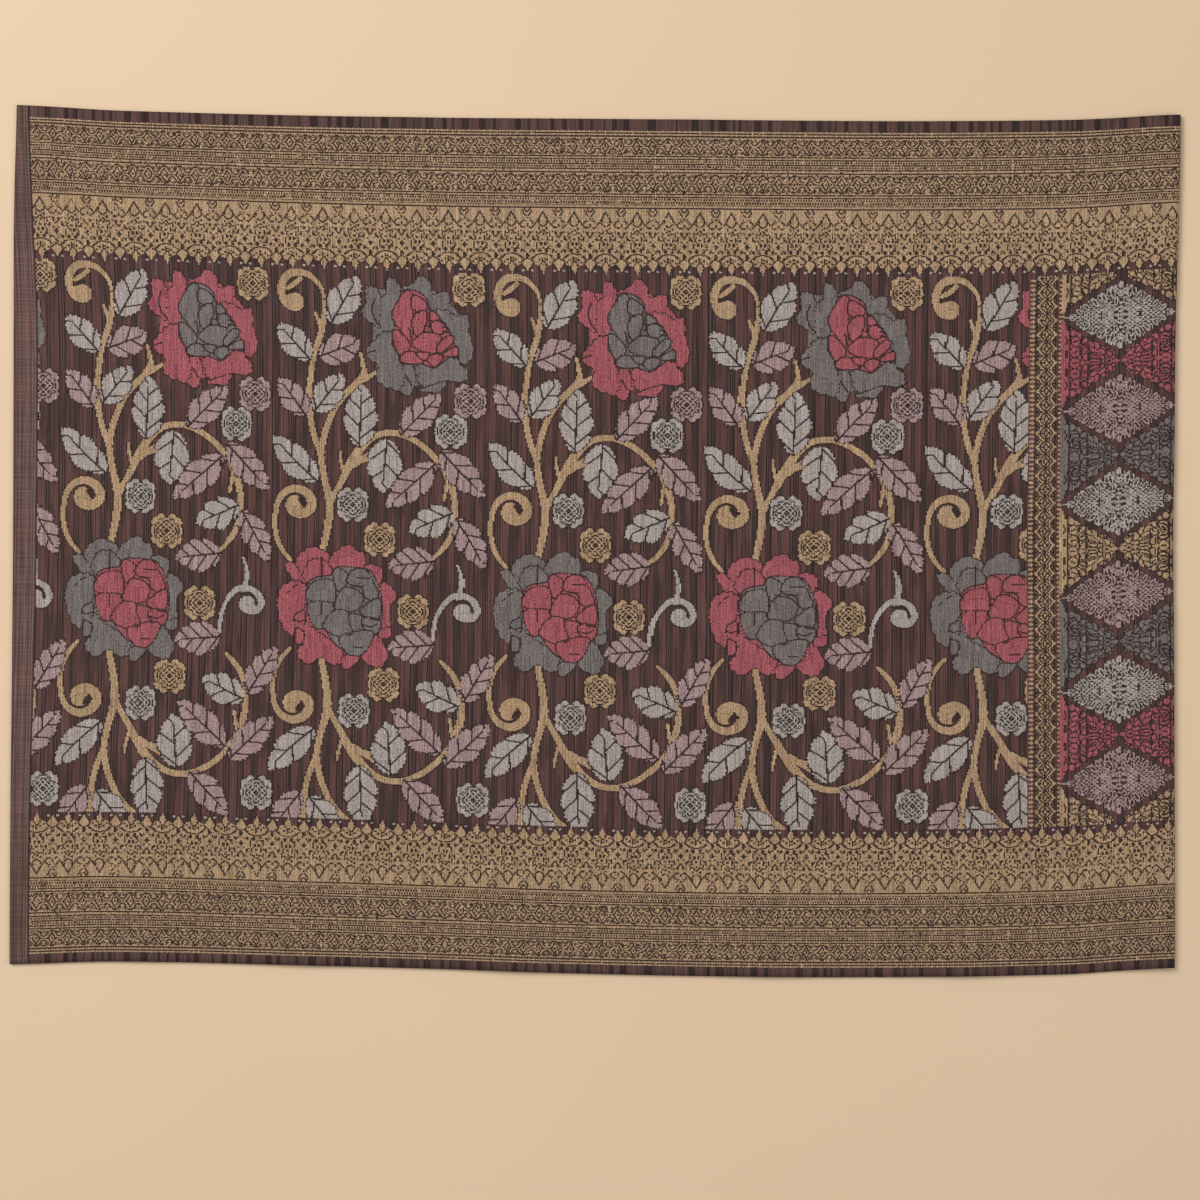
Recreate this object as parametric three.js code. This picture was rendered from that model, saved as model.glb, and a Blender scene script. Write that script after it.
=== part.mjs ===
// A waist cloth, folded once across its length and laid flat with its patterned face outwards.
// Millimetres, +Z up. +X runs along the length to the fold, +Y across the width to the upper hem.

import * as THREE from 'three';

// Driving dimensions.
const CLOTH_WIDTH = 804;
const FOLDED_LENGTH = 1100;
const THICKNESS = 1.1;
const LAYER_GAP = 0.8;
const FOLD_RADIUS = 2.6;
const FOLD_EASE = 60;
const UNDER_INSET = 1.5;

// Steps of the surface along each stretch.
const UPPER_STEPS = 40;
const FOLD_STEPS = 8;
const UNDER_STEPS = 14;
const WIDTH_STEPS = 26;

// How far the cloth is drawn up from straight, near each hem, along the length.
const SAG = [
  { x: -550, top: 11.8, bottom: 2.8 },
  { x: -450, top: 6.3, bottom: 5.5 },
  { x: -300, top: 2.1, bottom: 2.6 },
  { x: -150, top: -0.5, bottom: -1.4 },
  { x: 0, top: -1.6, bottom: -6.2 },
  { x: 150, top: -3.0, bottom: -8.9 },
  { x: 300, top: -3.9, bottom: -9.2 },
  { x: 450, top: -2.6, bottom: -6.6 },
  { x: 550, top: 1.9, bottom: -0.3 },
];

// How far the crosswise threads lean from straight, near each end, and where the end was cut.
const LEAN = [
  { y: -402, left: -5.3, right: -0.6, cut: 2.6 },
  { y: -250, left: -3.9, right: -0.8, cut: 2.1 },
  { y: -100, left: 0.4, right: -1.2, cut: -0.6 },
  { y: 0, left: 2.2, right: -2.2, cut: -1.6 },
  { y: 100, left: 3.2, right: -0.8, cut: -2.2 },
  { y: 200, left: 3.0, right: 0.2, cut: -1.8 },
  { y: 300, left: -1.5, right: 3.0, cut: 3.0 },
  { y: 402, left: -5.0, right: 5.0, cut: 9.0 },
];

// Soft ridges of the upper layer, each from one point to another.
const RIDGES = [
  { x1: -512, y1: 352, x2: -420, y2: 262, width: 11, height: 2.2 },
  { x1: -500, y1: 388, x2: -330, y2: 356, width: 13, height: 1.8 },
  { x1: 530, y1: 346, x2: 455, y2: 272, width: 11, height: 2.4 },
  { x1: 522, y1: 382, x2: 372, y2: 352, width: 13, height: 1.8 },
  { x1: -268, y1: -402, x2: -300, y2: -120, width: 34, height: 1.7 },
  { x1: -70, y1: -402, x2: -40, y2: -60, width: 40, height: 2.0 },
  { x1: 168, y1: -402, x2: 150, y2: -150, width: 36, height: 1.6 },
  { x1: 356, y1: -402, x2: 392, y2: -40, width: 30, height: 1.8 },
  { x1: 96, y1: 402, x2: 60, y2: 190, width: 34, height: 1.2 },
  { x1: -180, y1: 402, x2: -150, y2: 230, width: 30, height: 1.1 },
];

// Reads a column of a table between its rows, along a smooth curve through them.
function along(table, key, column, at) {
  const last = table.length - 1;
  let row = 0;
  while (row < last - 1 && at > table[row + 1][key]) row += 1;
  const value = (index) => table[Math.min(Math.max(index, 0), last)][column];
  const span = table[row + 1][key] - table[row][key];
  const t = Math.min(Math.max((at - table[row][key]) / span, 0), 1);
  const points = [value(row - 1), value(row), value(row + 1), value(row + 2)];
  const slope1 = (points[2] - points[0]) / 2;
  const slope2 = (points[3] - points[1]) / 2;
  const bend = 3 * (points[2] - points[1]) - 2 * slope1 - slope2;
  const twist = 2 * (points[1] - points[2]) + slope1 + slope2;
  return points[1] + t * (slope1 + t * (bend + t * twist));
}

function smooth(t) {
  const clamped = Math.min(Math.max(t, 0), 1);
  return clamped * clamped * (3 - 2 * clamped);
}

// Stretches of the cloth: the upper layer, the turn, and the layer beneath.
const UNDER_HEIGHT = THICKNESS / 2;
const UPPER_HEIGHT = UNDER_HEIGHT + THICKNESS + LAYER_GAP;
const TURN_X = FOLDED_LENGTH / 2 - FOLD_RADIUS - THICKNESS / 2;
const UPPER_LENGTH = TURN_X + FOLDED_LENGTH / 2;
const TURN_LENGTH = Math.PI * FOLD_RADIUS;
const CLOTH_LENGTH = 2 * UPPER_LENGTH + TURN_LENGTH - UNDER_INSET;

// The middle of the cloth's thickness at a distance from its first end, and the way its face looks.
function foldLine(distance) {
  if (distance <= UPPER_LENGTH) {
    const x = distance - FOLDED_LENGTH / 2;
    const swell = smooth(1 - (TURN_X - x) / FOLD_EASE);
    const foldRise = UNDER_HEIGHT + 2 * FOLD_RADIUS - UPPER_HEIGHT;
    return { x, z: UPPER_HEIGHT + foldRise * swell, faceX: 0, faceZ: 1, upper: 1 };
  }
  if (distance < UPPER_LENGTH + TURN_LENGTH) {
    const angle = Math.PI / 2 - (distance - UPPER_LENGTH) / FOLD_RADIUS;
    const faceX = Math.cos(angle);
    const faceZ = Math.sin(angle);
    const middle = UNDER_HEIGHT + FOLD_RADIUS;
    return { x: TURN_X + FOLD_RADIUS * faceX, z: middle + FOLD_RADIUS * faceZ, faceX, faceZ, upper: 0 };
  }
  const x = TURN_X - (distance - UPPER_LENGTH - TURN_LENGTH);
  return { x, z: UNDER_HEIGHT, faceX: 0, faceZ: -1, upper: 0 };
}

// The lift of the ridges, which die out before the fold.
function ridgeLift(x, y) {
  let lift = 0;
  for (const ridge of RIDGES) {
    const dx = ridge.x2 - ridge.x1;
    const dy = ridge.y2 - ridge.y1;
    const t = ((x - ridge.x1) * dx + (y - ridge.y1) * dy) / (dx * dx + dy * dy);
    const near = Math.min(Math.max(t, 0), 1);
    const away = Math.hypot(x - ridge.x1 - near * dx, y - ridge.y1 - near * dy);
    lift += ridge.height * (1 - smooth(near)) * Math.exp(-((away / ridge.width) ** 2));
  }
  return lift * smooth((TURN_X - x) / (FOLD_EASE / 2));
}

// A point of the cloth, from its place along and across the weave and its height over the middle.
function place(distance, across, height) {
  const line = foldLine(distance);
  const half = CLOTH_WIDTH / 2;
  const upward = (across + half) / CLOTH_WIDTH;
  const onward = line.x / FOLDED_LENGTH + 0.5;
  const sagBottom = along(SAG, 'x', 'bottom', line.x);
  const sagTop = along(SAG, 'x', 'top', line.x);
  const leanLeft = along(LEAN, 'y', 'left', across);
  const leanRight = along(LEAN, 'y', 'right', across);
  const tuck = distance > UPPER_LENGTH ? UNDER_INSET * smooth((TURN_X - line.x) / FOLD_EASE) : 0;
  const lift = line.upper * ridgeLift(line.x, across);
  return new THREE.Vector3(
    line.x + leanLeft + (leanRight - leanLeft) * onward + height * line.faceX,
    across * (1 - tuck / half) + sagBottom + (sagTop - sagBottom) * upward,
    line.z + lift + height * line.faceZ,
  );
}

// Shares of the way along the cloth: even steps in each stretch.
function lengthSteps() {
  const steps = [];
  for (let i = 0; i < UPPER_STEPS; i += 1) {
    steps.push(UPPER_LENGTH * (i / UPPER_STEPS));
  }
  for (let i = 0; i < FOLD_STEPS; i += 1) {
    steps.push(UPPER_LENGTH + TURN_LENGTH * (i / FOLD_STEPS));
  }
  const under = UPPER_LENGTH + TURN_LENGTH;
  for (let i = 0; i <= UNDER_STEPS; i += 1) {
    steps.push(under + (CLOTH_LENGTH - under) * (i / UNDER_STEPS));
  }
  return steps;
}

// The uneven cut end moves only the threads next to it.
function withCut(distance, across) {
  const cut = along(LEAN, 'y', 'cut', across);
  const reach = UPPER_LENGTH / UPPER_STEPS;
  const first = 1 - smooth(distance / reach);
  const last = 1 - smooth((CLOTH_LENGTH - distance) / reach);
  return distance + cut * first - cut * last;
}

// One closed sheet: the face, the back, and the narrow rim around them.
function foldedSheet() {
  const steps = lengthSteps();
  const columns = steps.length;
  const rows = WIDTH_STEPS + 1;
  const positions = [];
  for (const side of [1, -1]) {
    for (let i = 0; i < columns; i += 1) {
      for (let j = 0; j < rows; j += 1) {
        const across = CLOTH_WIDTH * (j / WIDTH_STEPS - 0.5);
        const point = place(withCut(steps[i], across), across, (side * THICKNESS) / 2);
        positions.push(point.x, point.y, point.z);
      }
    }
  }
  const face = (i, j) => i * rows + j;
  const back = (i, j) => (columns + i) * rows + j;
  const faces = [];
  const quad = (a, b, c, d) => faces.push(a, b, c, a, c, d);
  for (let i = 0; i < columns - 1; i += 1) {
    for (let j = 0; j < rows - 1; j += 1) {
      quad(face(i, j), face(i + 1, j), face(i + 1, j + 1), face(i, j + 1));
      quad(back(i, j), back(i, j + 1), back(i + 1, j + 1), back(i + 1, j));
    }
    quad(back(i, 0), back(i + 1, 0), face(i + 1, 0), face(i, 0));
    quad(face(i, rows - 1), face(i + 1, rows - 1), back(i + 1, rows - 1), back(i, rows - 1));
  }
  for (let j = 0; j < rows - 1; j += 1) {
    quad(face(0, j), face(0, j + 1), back(0, j + 1), back(0, j));
    quad(back(columns - 1, j), back(columns - 1, j + 1), face(columns - 1, j + 1), face(columns - 1, j));
  }
  const geometry = new THREE.BufferGeometry();
  geometry.setAttribute('position', new THREE.Float32BufferAttribute(positions, 3));
  geometry.setIndex(faces);
  return geometry;
}

// The origin lies under the middle of the cloth.
const sheet = foldedSheet();
sheet.computeBoundingBox();
const middle = sheet.boundingBox.getCenter(new THREE.Vector3());
sheet.translate(-middle.x, -middle.y, 0);
sheet.computeVertexNormals();

const weave = new THREE.MeshStandardMaterial({ color: 0x6d5853, roughness: 0.85, metalness: 0 });
const cloth = new THREE.Mesh(sheet, weave);
cloth.name = 'cloth';

const waistCloth = new THREE.Group();
waistCloth.add(cloth);

export default waistCloth;
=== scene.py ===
import math

import bpy
import mathutils
import numpy as np
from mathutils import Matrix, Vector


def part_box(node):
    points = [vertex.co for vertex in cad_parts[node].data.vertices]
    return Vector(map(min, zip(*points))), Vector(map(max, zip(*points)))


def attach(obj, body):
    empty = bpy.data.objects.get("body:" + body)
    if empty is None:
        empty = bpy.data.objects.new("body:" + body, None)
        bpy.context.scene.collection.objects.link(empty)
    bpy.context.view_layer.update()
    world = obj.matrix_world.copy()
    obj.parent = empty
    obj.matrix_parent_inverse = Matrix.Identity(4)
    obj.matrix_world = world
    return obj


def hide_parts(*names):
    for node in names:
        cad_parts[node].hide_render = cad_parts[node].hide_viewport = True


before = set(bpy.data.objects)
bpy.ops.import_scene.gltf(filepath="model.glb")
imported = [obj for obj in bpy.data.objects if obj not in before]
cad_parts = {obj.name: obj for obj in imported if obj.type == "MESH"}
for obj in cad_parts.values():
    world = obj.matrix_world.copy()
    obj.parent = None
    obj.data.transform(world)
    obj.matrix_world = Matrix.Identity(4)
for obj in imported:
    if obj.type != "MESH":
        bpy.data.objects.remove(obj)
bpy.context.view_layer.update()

# The woven length. One long cloth with a plain ground, warped in stripes of maroon, brown and
# black, and folded once across its length with its right side outwards on both layers. Its two
# long hems belong to the weave, and its cut ends are left plain.
# Sizes in millimetres, as in the part's source; a place on the cloth is given by its distance
# along the length from the first end, and across the width from the middle.
CLOTH_WIDTH = 804
FOLDED_LENGTH = 1100
SOLID_THICKNESS = 1.1
LAYER_GAP = 0.8
FOLD_RADIUS = 2.6
FOLD_EASE = 60
UNDER_INSET = 1.5
FACE_HEIGHT = 0.27
BACK_HEIGHT = -0.45
UPPER_STEPS = 220
TURN_STEPS = 10
UNDER_STEPS = 36
WIDTH_STEPS = 140
# How far the cloth is drawn up from straight at its upper hem, lower hem and middle.
SAG_PLACES = np.array([-550, -450, -300, -150, 0, 150, 300, 450, 550], float)
SAG_TOP = np.array([11.8, 6.3, 2.1, -0.5, -1.6, -3.0, -3.9, -2.6, 1.9])
SAG_BOTTOM = np.array([2.8, 5.5, 2.6, -1.4, -6.2, -8.9, -9.2, -6.6, -0.3])
SAG_MIDDLE = np.array([3.2, 2.4, 0.0, -2.4, -3.3, -2.9, -2.4, -1.0, 0.0])
# How far the crosswise threads lean near each end, how far the end was cut from straight, and how
# far inwards that cut moves the threads.
LEAN_PLACES = np.array([-402, -250, -100, 0, 100, 200, 300, 402], float)
LEAN_LEFT = np.array([-5.3, -3.9, 0.4, 2.2, 3.2, 3.0, -1.5, -5.0])
LEAN_RIGHT = np.array([-0.6, -0.8, -1.2, -2.2, -0.8, 0.2, 3.0, 5.0])
CUT = np.array([2.6, 2.1, -0.6, -1.6, -2.2, -1.8, 3.0, 9.0])
CUT_REACH = 27
# Each ridge runs from one point to another, with its width and height. The last five are
# shallow troughs and ridges that only the visual model has.
RIDGES = [
    (-512, 352, -420, 262, 11, 2.2), (-500, 388, -330, 356, 13, 1.8),
    (530, 346, 455, 272, 11, 2.4), (522, 382, 372, 352, 13, 1.8),
    (-268, -402, -300, -120, 34, 1.7), (-70, -402, -40, -60, 40, 2.0),
    (168, -402, 150, -150, 36, 1.6), (356, -402, 392, -40, 30, 1.8),
    (96, 402, 60, 190, 34, 1.2), (-180, 402, -150, 230, 30, 1.1),
    (-430, 330, -300, 150, 24, -0.7), (440, 330, 330, 170, 26, -0.8),
    (-420, -402, -440, -220, 22, 0.8), (262, -402, 270, -250, 20, -0.7),
    (480, -402, 500, -200, 20, -0.6),
]
UNDER_HEIGHT = SOLID_THICKNESS / 2
UPPER_HEIGHT = UNDER_HEIGHT + SOLID_THICKNESS + LAYER_GAP
TURN_X = FOLDED_LENGTH / 2 - FOLD_RADIUS - SOLID_THICKNESS / 2
UPPER_LENGTH = TURN_X + FOLDED_LENGTH / 2
TURN_LENGTH = math.pi * FOLD_RADIUS
CLOTH_LENGTH = 2 * UPPER_LENGTH + TURN_LENGTH - UNDER_INSET
FOLD_MIDDLE = UPPER_LENGTH + TURN_LENGTH / 2


def along(places, values, at):
    """A smooth curve through values at their places."""
    row = np.searchsorted(places[1:-1], at)
    last = len(places) - 1
    before, here, there, after = (values[np.clip(row + step, 0, last)] for step in (-1, 0, 1, 2))
    t = np.clip((at - places[row]) / (places[row + 1] - places[row]), 0, 1)
    slope1 = (there - before) / 2
    slope2 = (after - here) / 2
    bend = 3 * (there - here) - 2 * slope1 - slope2
    twist = 2 * (here - there) + slope1 + slope2
    return here + t * (slope1 + t * (bend + t * twist))


def smooth(t):
    clamped = np.clip(t, 0, 1)
    return clamped * clamped * (3 - 2 * clamped)


def ridge_lift(x, y):
    """How far the ridges lift the upper layer; they die out before the fold."""
    lift = 0.0
    for x1, y1, x2, y2, width, height in RIDGES:
        dx = x2 - x1
        dy = y2 - y1
        near = np.clip(((x - x1) * dx + (y - y1) * dy) / (dx * dx + dy * dy), 0, 1)
        away = np.hypot(x - x1 - near * dx, y - y1 - near * dy)
        lift = lift + height * (1 - smooth(near)) * np.exp(-((away / width) ** 2))
    return lift * smooth((TURN_X - x) / (FOLD_EASE / 2))


def drape(distance, across, height):
    """Points of the folded cloth, in metres, from their places on it and height over its middle."""
    distance, across, height = np.broadcast_arrays(distance, across, height)
    x = distance - FOLDED_LENGTH / 2
    swell = smooth(1 - (TURN_X - x) / FOLD_EASE)
    fold_rise = UNDER_HEIGHT + 2 * FOLD_RADIUS - UPPER_HEIGHT
    turn = np.clip((distance - UPPER_LENGTH) / FOLD_RADIUS, 0, math.pi)
    face_x = np.sin(turn)
    face_z = np.cos(turn)
    past_turn = distance - UPPER_LENGTH - TURN_LENGTH
    x = np.where(turn > 0, TURN_X + FOLD_RADIUS * face_x - np.maximum(past_turn, 0), x)
    z = np.where(turn > 0, UNDER_HEIGHT + FOLD_RADIUS * (1 + face_z), UPPER_HEIGHT + fold_rise * swell)
    half = CLOTH_WIDTH / 2
    upward = (across + half) / CLOTH_WIDTH
    onward = x / FOLDED_LENGTH + 0.5
    sag_bottom = along(SAG_PLACES, SAG_BOTTOM, x)
    sag_top = along(SAG_PLACES, SAG_TOP, x)
    sag_middle = along(SAG_PLACES, SAG_MIDDLE, x) * 4 * upward * (1 - upward)
    lean_left = along(LEAN_PLACES, LEAN_LEFT, across)
    lean_right = along(LEAN_PLACES, LEAN_RIGHT, across)
    tuck = UNDER_INSET * smooth((TURN_X - x) / FOLD_EASE) * (turn > 0)
    lift = ridge_lift(x, across) * (turn <= 0)
    place = np.stack([
        x + lean_left + (lean_right - lean_left) * onward + height * face_x,
        across * (1 - tuck / half) + sag_bottom + (sag_top - sag_bottom) * upward + sag_middle,
        z + lift + height * face_z,
    ], axis=-1)
    return place * 0.001


def with_cut(distance, across):
    """The uneven cut ends move only the threads next to them."""
    cut = along(LEAN_PLACES, CUT, across)
    first = 1 - smooth(distance / CUT_REACH)
    last = 1 - smooth((CLOTH_LENGTH - distance) / CUT_REACH)
    return distance + cut * first - cut * last


length_steps = np.concatenate([
    np.linspace(0, UPPER_LENGTH, UPPER_STEPS, endpoint=False),
    np.linspace(UPPER_LENGTH, UPPER_LENGTH + TURN_LENGTH, TURN_STEPS, endpoint=False),
    np.linspace(UPPER_LENGTH + TURN_LENGTH, CLOTH_LENGTH, UNDER_STEPS),
])
width_steps = np.linspace(-CLOTH_WIDTH / 2, CLOTH_WIDTH / 2, WIDTH_STEPS + 1)
columns = len(length_steps)
rows = len(width_steps)
across_grid = np.broadcast_to(width_steps[None, :], (columns, rows))
along_grid = with_cut(length_steps[:, None], across_grid)
sheet_points = np.stack([drape(along_grid, across_grid, side) for side in (FACE_HEIGHT, BACK_HEIGHT)])
low = sheet_points.reshape(-1, 3).min(axis=0)
high = sheet_points.reshape(-1, 3).max(axis=0)
box_low, box_high = (np.array(corner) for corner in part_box("cloth"))
to_middle = (box_low + box_high) / 2 - (low + high) / 2
to_middle[2] = 0

face_index = np.arange(columns * rows).reshape(columns, rows)
back_index = face_index + columns * rows


def quads(a, b, c, d):
    return np.stack([a, b, c, d], axis=-1).reshape(-1, 4)


sheet_quads = np.concatenate([
    quads(face_index[:-1, :-1], face_index[1:, :-1], face_index[1:, 1:], face_index[:-1, 1:]),
    quads(back_index[:-1, :-1], back_index[:-1, 1:], back_index[1:, 1:], back_index[1:, :-1]),
    quads(back_index[:-1, 0], back_index[1:, 0], face_index[1:, 0], face_index[:-1, 0]),
    quads(face_index[:-1, -1], face_index[1:, -1], back_index[1:, -1], back_index[:-1, -1]),
    quads(face_index[0, :-1], face_index[0, 1:], back_index[0, 1:], back_index[0, :-1]),
    quads(back_index[-1, :-1], back_index[-1, 1:], face_index[-1, 1:], face_index[-1, :-1]),
])
sheet_mesh = bpy.data.meshes.new("woven_length")
sheet_mesh.from_pydata((sheet_points + to_middle).reshape(-1, 3), [], sheet_quads.tolist())
broad_faces = 2 * (columns - 1) * (rows - 1)
sheet_mesh.polygons.foreach_set("use_smooth", np.arange(len(sheet_quads)) < broad_faces)
weave_place = np.stack([along_grid, across_grid], axis=-1).reshape(-1, 2) * 0.001
weave_place = np.concatenate([weave_place, weave_place])
sheet_uv = sheet_mesh.uv_layers.new(name="weave")
sheet_uv.data.foreach_set("uv", weave_place[sheet_quads.ravel()].ravel())
sheet_mesh.update()


class Wire:
    """A value that runs through a node tree and can be used in sums."""

    def __init__(self, tree, socket=None):
        self.tree = tree
        self.socket = socket

    def node(self, kind, settings=None, values=None, output=0):
        made = self.tree.nodes.new(kind)
        for name, setting in (settings or {}).items():
            if name == "stops":
                ramp = made.color_ramp.elements
                while len(ramp) < len(setting):
                    ramp.new(1.0)
                for stop, (place, colour) in zip(ramp, setting):
                    stop.position = place
                    stop.color = colour
            elif name == "between":
                made.color_ramp.interpolation = setting
            else:
                setattr(made, name, setting)
        for name, value in (values or {}).items():
            if isinstance(value, Wire):
                self.tree.links.new(value.socket, made.inputs[name])
            else:
                made.inputs[name].default_value = value
        return Wire(self.tree, made.outputs[output])

    def sum(self, operation, first, second=0.0):
        return self.node("ShaderNodeMath", {"operation": operation}, {0: first, 1: second})

    def held(self, low, high):
        """This value, kept between two limits."""
        return self.sum("MINIMUM", self.sum("MAXIMUM", self, low), high)

    def feed(self, shader, name):
        self.tree.links.new(self.socket, shader.inputs[name])

    def __add__(self, other):
        return self.sum("ADD", self, other)

    def __sub__(self, other):
        return self.sum("SUBTRACT", self, other)

    def __mul__(self, other):
        return self.sum("MULTIPLY", self, other)

    def __truediv__(self, other):
        return self.sum("DIVIDE", self, other)

    def __mod__(self, other):
        return self.sum("FLOORED_MODULO", self, other)

    def __gt__(self, other):
        return self.sum("GREATER_THAN", self, other)

    def __lt__(self, other):
        return self.sum("LESS_THAN", self, other)

    def __rsub__(self, other):
        return self.sum("SUBTRACT", other, self)

    def __rtruediv__(self, other):
        return self.sum("DIVIDE", other, self)

    __radd__ = __add__
    __rmul__ = __mul__


def blend(tree, share, first, second, way="MIX"):
    """One colour over another."""
    settings = {"data_type": "RGBA", "blend_type": way}
    return tree.node("ShaderNodeMix", settings, {0: share, 6: first, 7: second}, 2)


def from_screen(red, green, blue):
    """A colour read off a screen, as the linear values that materials take."""
    return (*(((level / 255 + 0.055) / 1.055) ** 2.4 for level in (red, green, blue)), 1.0)


def new_finish(name, roughness, specular, metal=0.0):
    """A material with its main shader, and a wire to build its nodes with."""
    finish = bpy.data.materials.new(name)
    finish.use_nodes = True
    shader = finish.node_tree.nodes["Principled BSDF"]
    shader.inputs["Roughness"].default_value = roughness
    shader.inputs["Specular IOR Level"].default_value = specular
    shader.inputs["Metallic"].default_value = metal
    return finish, shader, Wire(finish.node_tree)


MAROON = from_screen(97, 70, 66)
DEEP_MAROON = from_screen(86, 59, 56)
GREY_BROWN = from_screen(86, 69, 65)
NEAR_BLACK = from_screen(50, 40, 41)
RUSSET = from_screen(104, 69, 63)
MARGIN_PURPLE = from_screen(124, 98, 92)
PALE_THREAD = from_screen(158, 134, 122)
HEM_BROWN = from_screen(106, 82, 75)
SMOKE = from_screen(56, 48, 45)
# Places on the weave, in metres.
END_MARGIN = 0.021
END_EDGE = 0.0035
MARGIN_LINE = 0.0012
HEM_START = 0.3915
FIELD_REACH = 0.262
STRIPE_SPACING = 0.0134
ground_weave, shader, wire = new_finish("striped ground weave", 0.9, 0.08)
weave = wire.node("ShaderNodeUVMap", {"uv_map": "weave"})
lengthwise = wire.node("ShaderNodeSeparateXYZ", None, {0: weave})
crosswise = Wire(wire.tree, lengthwise.socket.node.outputs[1])


def line_noise(place):
    """Threads that differ one from the next."""
    values = {"W": place, "Scale": 1.0, "Detail": 1.0}
    return wire.node("ShaderNodeTexNoise", {"noise_dimensions": "1D"}, values)


def patch_noise(along_scale, across_scale, detail=2.0):
    """Marks drawn out along the threads, by how many there are to a metre each way."""
    place = {0: lengthwise * along_scale, 1: crosswise * across_scale}
    values = {"Vector": wire.node("ShaderNodeCombineXYZ", None, place), "Scale": 1.0, "Detail": detail}
    return wire.node("ShaderNodeTexNoise", {"noise_dimensions": "2D"}, values)


# Warp stripes that wander in width, then stains and broad dark lines over them.
wander = line_noise(lengthwise * 21)
stripe_count = (lengthwise + wander * 0.012) / STRIPE_SPACING
own_width = line_noise(stripe_count.sum("FLOOR", stripe_count) * 7.31)
stripe_order = stripe_count % 1.0 + (own_width - 0.5) * 0.45
stripes = wire.node("ShaderNodeValToRGB", {"between": "CONSTANT", "stops": [
    (0.0, NEAR_BLACK),
    (0.06, MAROON),
    (0.22, DEEP_MAROON),
    (0.3, MAROON),
    (0.58, NEAR_BLACK),
    (0.67, GREY_BROWN),
    (0.77, NEAR_BLACK),
    (0.84, GREY_BROWN),
    (0.91, NEAR_BLACK),
    (0.97, DEEP_MAROON),
]}, {0: stripe_order})
hairlines = line_noise(lengthwise * 1500)
streaks = patch_noise(1050, 24, 3.0)
threads = patch_noise(950, 900, 1.0)
redder = (patch_noise(700, 12) - 0.53) * 5
stained = blend(wire, redder.held(0.0, 0.6), stripes, RUSSET)
smoke = (patch_noise(75, 14) - 0.49) * 4
stained = blend(wire, smoke.held(0.0, 0.5), stained, SMOKE)
broad = ((line_noise(lengthwise * 120) - 0.5) * 14).held(0.0, 1.0)
# The purplish margin at each cut end, with pale weft lines and a dark edge on both sides.
to_end = lengthwise.sum("MINIMUM", lengthwise, CLOTH_LENGTH * 0.001 - lengthwise)
weft_line = ((line_noise(crosswise * 800) - 0.56) * 4).held(0.0, 0.16)
cords = ((line_noise(lengthwise * 420) - 0.42) * 3.2).held(0.25, 0.85)
margin = blend(wire, cords, stained, MARGIN_PURPLE)
margin = blend(wire, (to_end < END_EDGE) * 0.4, margin, NEAR_BLACK)
margin = blend(wire, weft_line, margin, PALE_THREAD)
margin = blend(wire, (to_end > END_MARGIN - MARGIN_LINE) * 0.75, margin, NEAR_BLACK)
# The hems are browner and more strongly striped than the field.
from_middle = crosswise.sum("ABSOLUTE", crosswise)
in_hem = from_middle > HEM_START
stained = blend(wire, in_hem * 0.5, stained, HEM_BROWN)
stained = blend(wire, broad * (in_hem * 0.58 + 0.22), stained, NEAR_BLACK)
coloured = blend(wire, to_end < END_MARGIN, stained, margin)
# Outside the field, where the borders lie, the ground is 14 % darker: painted shade between the border
# floats.
unshaded_field = from_middle < FIELD_REACH
tone = (hairlines * 0.6 + streaks * 1.2 + threads * 0.7 - 0.25) * (unshaded_field * 0.14 + 0.86)
tones = wire.node("ShaderNodeCombineColor", None, {0: tone, 1: tone, 2: tone})
blend(wire, 1.0, coloured, tones, "MULTIPLY").feed(shader, "Base Color")
relief = streaks * 0.4 + threads * 0.6
bump = wire.node("ShaderNodeBump", None, {"Strength": 0.35, "Distance": 0.0004, "Height": relief})
bump.feed(shader, "Normal")
sheet_mesh.materials.append(ground_weave)

woven_length = bpy.data.objects.new("woven_length", sheet_mesh)
bpy.context.collection.objects.link(woven_length)
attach(woven_length, "root")
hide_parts("cloth")

# The two gold borders along the hems. Rows of scrolls, dashes and dots, and a broad gold band with
# a scalloped inner edge, brocaded with a supplementary gilt yarn that floats across the width
# over the ground. Each float is one raised bar of yarn, laid in as the cloth is woven.
BORDER_REPEAT = 29.6
BORDER_COLUMNS = 24
BORDER_ROWS = 224
COLUMN = BORDER_REPEAT / BORDER_COLUMNS
ROW = 0.65
PATTERN_START = 21
PATTERN_COLUMNS = 876
FLOAT_WIDTH = 0.00119
FLOAT_HEIGHT = 0.00028
FLOAT_MIDDLE = 0.38
LINE_HEIGHT = 0.6
UNDER_FLOAT = 0.32
LONGEST_FLOAT = 15.6
LONGEST_ON_RIDGE = 5.2
# Half widths of a thin line of yarn, of a dark line of ground in painted shade, and of the outline of painted
# shade round a shape.
THREAD = 0.75
LINE = 0.68
OUTLINE = 1.0
# The yarns, by their number on the squared paper. First and second are the two that change
# places from one rose to the next.
# The last number marks the ground where it shows between floats, covered by a dark line of painted shade.
GROUND, GOLD, SILVER, PINK, RED, GREY, FIRST, SECOND, SHADED_GROUND = range(9)
# Near-black and dark brown of those lines: the ground's colour with painted shade over it.
SHADE_LINE_BLACK = from_screen(38, 29, 29)
SHADE_LINE_BROWN = from_screen(70, 54, 50)
# The gilt yarn's darkest and brightest colours; the brightest also stands for painted glints.
GILT_DARK = from_screen(118, 93, 69)
GILT_BRIGHT = from_screen(205, 173, 137)
SILVER_DARK = from_screen(120, 110, 105)
SILVER_BRIGHT = from_screen(196, 185, 178)


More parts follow.
